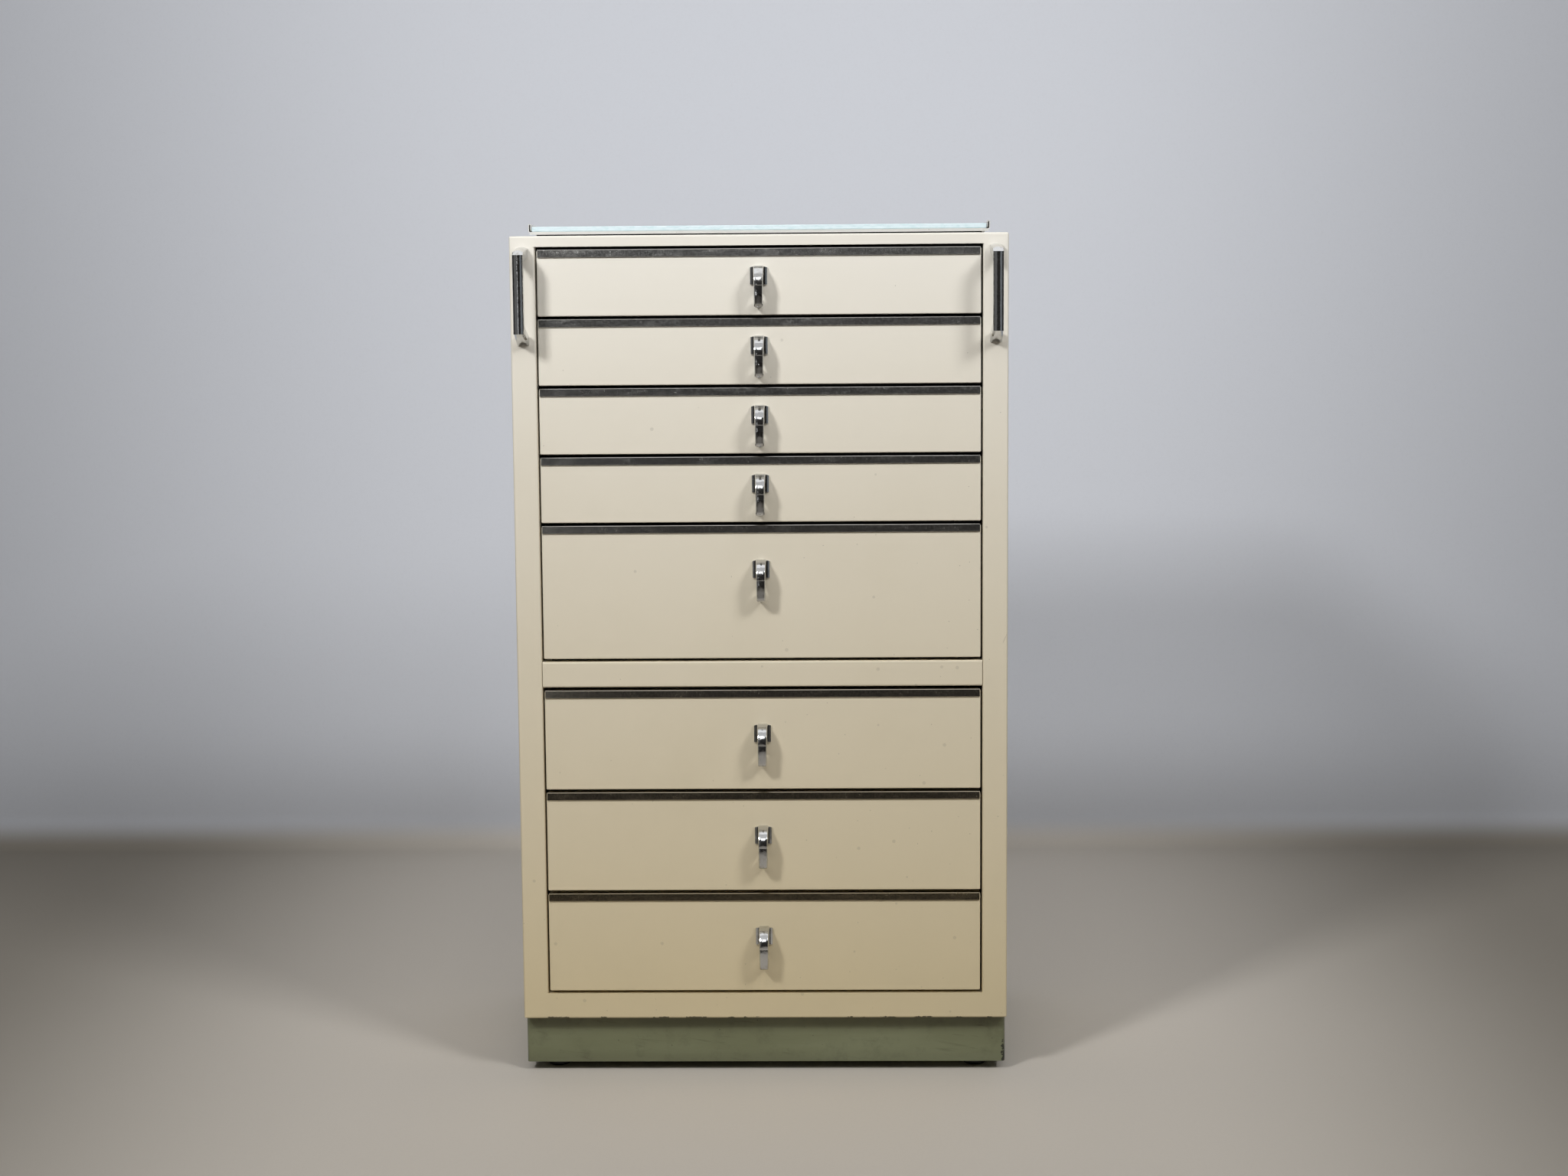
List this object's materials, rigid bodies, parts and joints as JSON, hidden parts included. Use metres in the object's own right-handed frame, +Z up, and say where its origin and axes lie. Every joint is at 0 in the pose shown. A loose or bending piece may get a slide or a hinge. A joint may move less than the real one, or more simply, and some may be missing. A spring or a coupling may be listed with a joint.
{
  "type": "dental cabinet",
  "caption": "Tall enamelled steel dental cabinet with flush sliding drawers, cast chrome pulls and edge strips, grips on the stiles, a glass worktop and a recessed plinth.",
  "frame": {"origin": "on the floor, below the middle of the whole object's box", "axes": "+Z up, front towards -Y, +X to the viewer's right when facing the drawers"},
  "size_m": [0.6, 0.456, 1.0523],
  "materials": {
    "enamel": "glossy cream enamel, aged",
    "plinth_paint": "satin grey-green paint",
    "chrome": "polished, lightly clouded",
    "tray_metal": "bright plated sheet",
    "glass": "clear plate glass, ground edges",
    "bare_steel": "zinc plated, dull",
    "fastener": "plated",
    "rubber": "black rubber",
    "glide": "black moulded"
  },
  "bodies": {
    "carcass": {"left_side_panel": "enamel", "right_side_panel": "enamel", "top_panel": "enamel", "base_panel": "enamel", "mid_rail": "enamel", "back_panel": "enamel", "back_screws": "fastener", "plinth": "plinth_paint", "floor_glides": "glide", "left_runner_posts": "bare_steel", "right_runner_posts": "bare_steel", "left_runners": "bare_steel", "right_runners": "bare_steel", "drawer_buffers": "rubber", "left_grip": "chrome", "right_grip": "chrome", "grip_screws": "fastener", "glass_tray": "tray_metal", "glass_top": "glass", "tray_pads": "rubber"},
    "drawer_1": {"drawer_1_front": "enamel", "drawer_1_box": "enamel", "drawer_1_trim": "chrome", "drawer_1_pull": "chrome", "drawer_1_screws": "fastener"},
    "drawer_2": {"drawer_2_front": "enamel", "drawer_2_box": "enamel", "drawer_2_trim": "chrome", "drawer_2_pull": "chrome", "drawer_2_screws": "fastener"},
    "drawer_3": {"drawer_3_front": "enamel", "drawer_3_box": "enamel", "drawer_3_trim": "chrome", "drawer_3_pull": "chrome", "drawer_3_screws": "fastener"},
    "drawer_4": {"drawer_4_front": "enamel", "drawer_4_box": "enamel", "drawer_4_trim": "chrome", "drawer_4_pull": "chrome", "drawer_4_screws": "fastener"},
    "drawer_5": {"drawer_5_front": "enamel", "drawer_5_box": "enamel", "drawer_5_trim": "chrome", "drawer_5_pull": "chrome", "drawer_5_screws": "fastener"},
    "drawer_6": {"drawer_6_front": "enamel", "drawer_6_box": "enamel", "drawer_6_trim": "chrome", "drawer_6_pull": "chrome", "drawer_6_screws": "fastener"},
    "drawer_7": {"drawer_7_front": "enamel", "drawer_7_box": "enamel", "drawer_7_trim": "chrome", "drawer_7_pull": "chrome", "drawer_7_screws": "fastener"},
    "drawer_8": {"drawer_8_front": "enamel", "drawer_8_box": "enamel", "drawer_8_trim": "chrome", "drawer_8_pull": "chrome", "drawer_8_screws": "fastener"}
  },
  "joints": [
    {"name": "drawer_1_slide", "type": "slide", "parent": "carcass", "child": "drawer_1", "axis": [0, -1, 0], "range_m": [0, 0.29]},
    {"name": "drawer_2_slide", "type": "slide", "parent": "carcass", "child": "drawer_2", "axis": [0, -1, 0], "range_m": [0, 0.29]},
    {"name": "drawer_3_slide", "type": "slide", "parent": "carcass", "child": "drawer_3", "axis": [0, -1, 0], "range_m": [0, 0.29]},
    {"name": "drawer_4_slide", "type": "slide", "parent": "carcass", "child": "drawer_4", "axis": [0, -1, 0], "range_m": [0, 0.29]},
    {"name": "drawer_5_slide", "type": "slide", "parent": "carcass", "child": "drawer_5", "axis": [0, -1, 0], "range_m": [0, 0.29]},
    {"name": "drawer_6_slide", "type": "slide", "parent": "carcass", "child": "drawer_6", "axis": [0, -1, 0], "range_m": [0, 0.29]},
    {"name": "drawer_7_slide", "type": "slide", "parent": "carcass", "child": "drawer_7", "axis": [0, -1, 0], "range_m": [0, 0.29]},
    {"name": "drawer_8_slide", "type": "slide", "parent": "carcass", "child": "drawer_8", "axis": [0, -1, 0], "range_m": [0, 0.29]}
  ]
}
